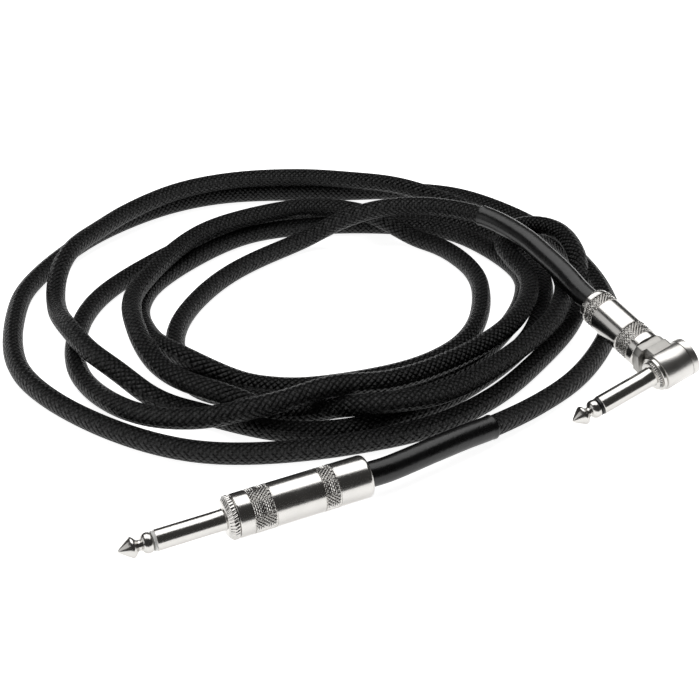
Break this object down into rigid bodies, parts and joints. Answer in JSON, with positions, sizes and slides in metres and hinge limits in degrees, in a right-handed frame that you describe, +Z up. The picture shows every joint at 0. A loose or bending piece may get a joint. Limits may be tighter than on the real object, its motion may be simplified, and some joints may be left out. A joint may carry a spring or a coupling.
{
  "type": "instrument cable",
  "caption": "Coiled braided instrument cable with a straight phone plug at one end and a right-angle phone plug at the other.",
  "frame": {"origin": "on the surface the cable lies on, under the middle of the box of the two plugs and their boots", "axes": "+Z up; +X to the right and +Y to the back, seen from the side where the straight plug lies in front"},
  "size_m": [0.2388, 0.2259, 0.0235],
  "materials": {
    "cord": "black woven braid",
    "nickel": "bright nickel plating",
    "black_plastic": "black moulded insulator",
    "lug": "tinned brass",
    "white_plastic": "natural plastic",
    "copper": "bare copper",
    "solder": "bright solder",
    "boot": "black heat-shrink, satin",
    "fibre": "red-brown fibre"
  },
  "bodies": {
    "cable": {"coil": "cord", "straight_lead": "cord", "angle_lead": "cord", "straight_tip": "nickel", "straight_insulator": "black_plastic", "straight_sleeve": "nickel", "straight_lug": "lug", "straight_clamp": "lug", "straight_core": "white_plastic", "straight_conductor": "copper", "straight_shield": "copper", "straight_lug_solder": "solder", "straight_clamp_solder": "solder", "straight_boot": "boot", "angle_tip": "nickel", "angle_insulator": "black_plastic", "angle_sleeve": "nickel", "angle_body": "nickel", "angle_lug": "lug", "angle_clamp": "lug", "angle_core": "white_plastic", "angle_conductor": "copper", "angle_shield": "copper", "angle_lug_solder": "solder", "angle_clamp_solder": "solder", "angle_boot": "boot"},
    "straight_inner": {"straight_liner": "white_plastic"},
    "straight_outer": {"straight_barrel": "nickel"},
    "angle_inner": {"angle_liner": "white_plastic"},
    "angle_outer": {"angle_barrel": "nickel"},
    "cap_inner": {"angle_cap_disc": "fibre"},
    "cap_outer": {"angle_cap": "nickel"}
  },
  "joints": [
    {"name": "straight_barrel_slide", "type": "slide", "parent": "cable", "child": "straight_inner", "axis": [0.9063, 0.4226, 0], "range_m": [0, 0.005]},
    {"name": "straight_barrel_turn", "type": "hinge", "parent": "straight_inner", "child": "straight_outer", "pos_m": [-0.06084, -0.0766, 0.0066], "axis": [0.9063, 0.4226, 0], "range_deg": [0, 1801]},
    {"name": "angle_barrel_slide", "type": "slide", "parent": "cable", "child": "angle_inner", "axis": [-0.4778, 0.8727, 0.1011], "range_m": [0, 0.005]},
    {"name": "angle_barrel_turn", "type": "hinge", "parent": "angle_inner", "child": "angle_outer", "pos_m": [0.07786, -0.0104, 0.012], "axis": [-0.4778, 0.8727, 0.1011], "range_deg": [0, 1801]},
    {"name": "cap_lift", "type": "slide", "parent": "cable", "child": "cap_inner", "axis": [0.8604, 0.4416, 0.2541], "range_m": [0, 0.004]},
    {"name": "cap_turn", "type": "hinge", "parent": "cap_inner", "child": "cap_outer", "pos_m": [0.07786, -0.0104, 0.012], "axis": [0.8604, 0.4416, 0.2541], "range_deg": [0, 1441]}
  ],
  "couplings": [
    {"joint": "straight_barrel_turn", "follows": "straight_barrel_slide", "rad_per_m": 6283.2},
    {"joint": "angle_barrel_turn", "follows": "angle_barrel_slide", "rad_per_m": 6283.2},
    {"joint": "cap_turn", "follows": "cap_lift", "rad_per_m": 6283.2}
  ]
}
